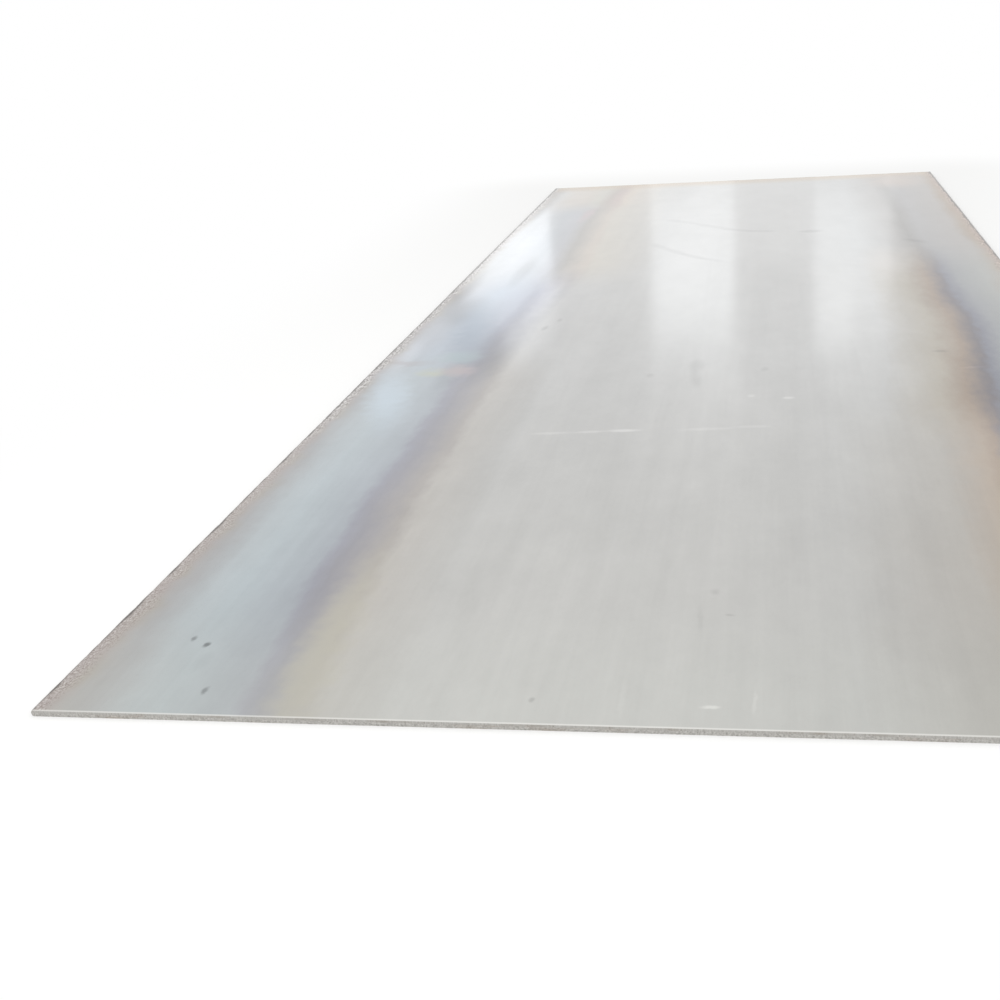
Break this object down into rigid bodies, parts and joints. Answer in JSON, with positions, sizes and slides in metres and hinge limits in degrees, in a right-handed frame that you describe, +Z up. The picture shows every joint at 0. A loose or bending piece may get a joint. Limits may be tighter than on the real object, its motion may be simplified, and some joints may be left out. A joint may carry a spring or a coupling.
{
  "type": "steel plate",
  "caption": "Flat hot-rolled steel plate with mill scale, rounded as-rolled long edges and sheared ends, lying flat as raw stock.",
  "frame": {"origin": "on the underside, under the middle of the plate", "axes": "+Y along the rolling direction, the longest side; +X across the plate; +Z up, through the thickness"},
  "size_m": [2, 6, 0.0123],
  "materials": {
    "hot_rolled_steel": "satin grey mill scale"
  },
  "bodies": {
    "root": {"steel_plate": "hot_rolled_steel"}
  },
  "joints": []
}
